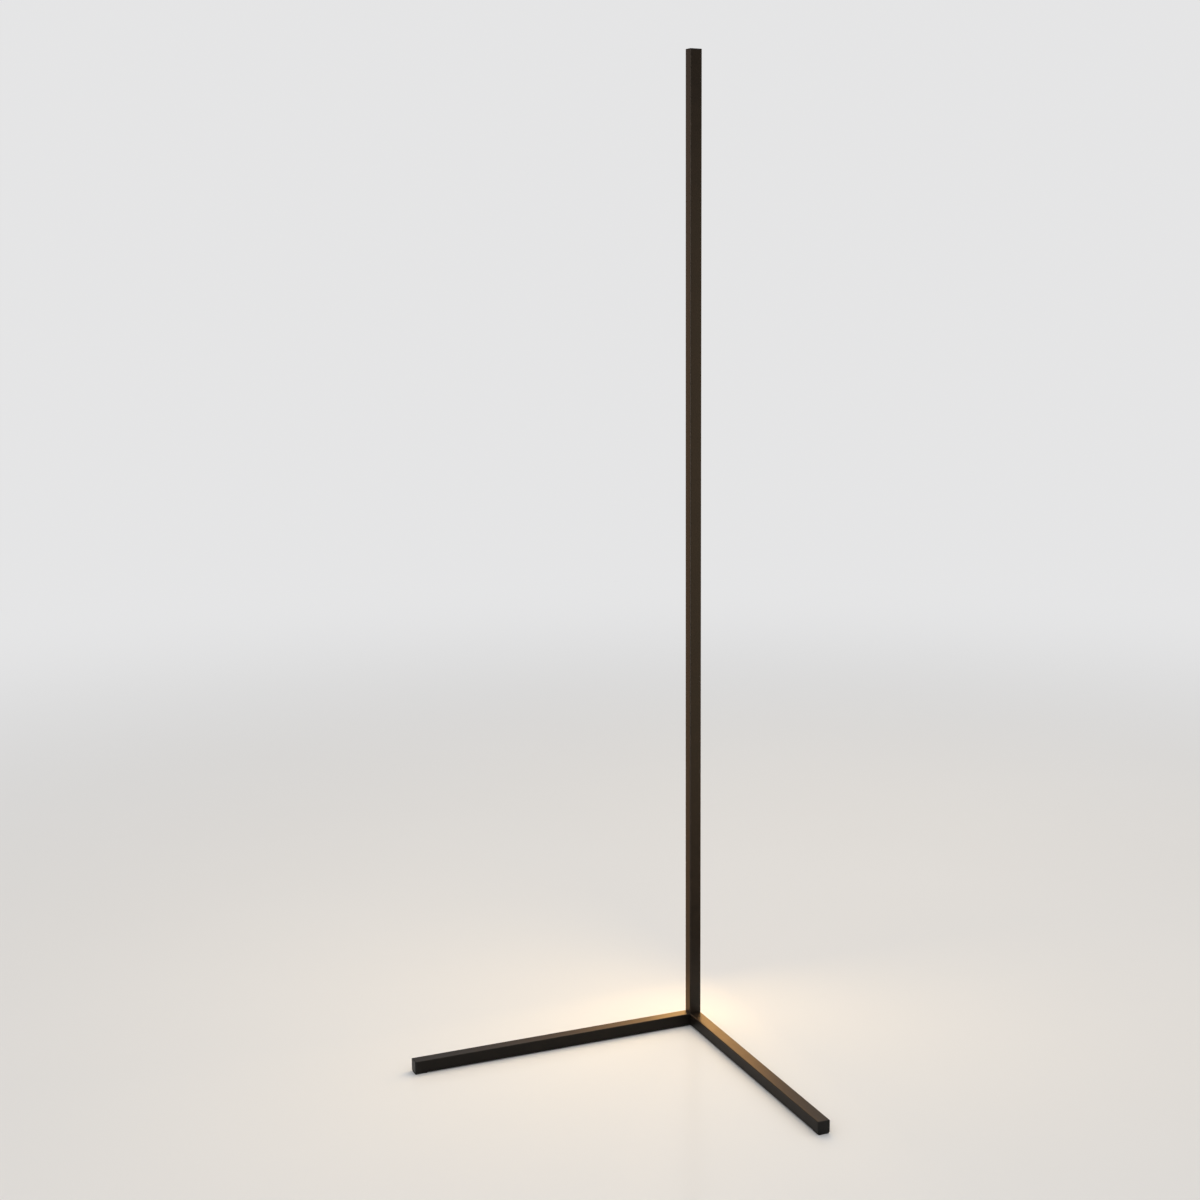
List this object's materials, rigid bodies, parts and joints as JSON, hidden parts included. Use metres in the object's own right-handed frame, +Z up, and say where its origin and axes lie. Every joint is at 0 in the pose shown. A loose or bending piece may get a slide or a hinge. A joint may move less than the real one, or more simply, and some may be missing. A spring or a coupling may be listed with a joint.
{
  "type": "corner floor lamp",
  "caption": "Slim square light column on floor legs set at a right angle; a milky light strip along its back corner washes the walls of a room corner.",
  "frame": {"origin": "on the floor, at the underside of the corner foot pad, under the column's centre line", "axes": "+Z up along the column; the left leg runs along -X and the right leg along -Y, so the light faces the room corner at +X +Y"},
  "size_m": [0.45, 0.4515, 1.46],
  "materials": {
    "mast_black": "satin",
    "leg_black": "satin",
    "black_plastic": "satin",
    "milky_cover": "satin",
    "strip_white": "satin",
    "chip_phosphor": "matte",
    "resistor_black": "satin",
    "solder_tin": "polished",
    "block_aluminium": "satin",
    "key_steel": "satin",
    "screw_black": "satin",
    "washer_zinc": "satin",
    "foot_rubber": "matte",
    "contact_nickel": "polished",
    "wire_red": "satin",
    "wire_black": "satin"
  },
  "bodies": {
    "root": {"mast_profile": "mast_black", "light_diffuser": "milky_cover", "led_strip_board": "strip_white", "led_chips": "chip_phosphor", "strip_resistors": "resistor_black", "solder_joints": "solder_tin", "top_cap": "black_plastic", "cap_screw": "screw_black", "foot_block": "block_aluminium", "foot_block_screws": "screw_black", "mast_bolt": "screw_black", "mast_bolt_washer": "washer_zinc", "corner_key": "key_steel", "left_leg": "leg_black", "right_leg": "leg_black", "leg_screws": "screw_black", "left_leg_cap": "black_plastic", "right_leg_cap": "black_plastic", "corner_foot_pad": "foot_rubber", "left_foot_pad": "foot_rubber", "right_foot_pad": "foot_rubber", "dc_socket": "black_plastic", "dc_socket_nut": "washer_zinc", "dc_centre_pin": "contact_nickel", "dc_spring_contact": "contact_nickel", "wire_bush": "foot_rubber", "wire_positive": "wire_red", "wire_negative": "wire_black"}
  },
  "joints": []
}
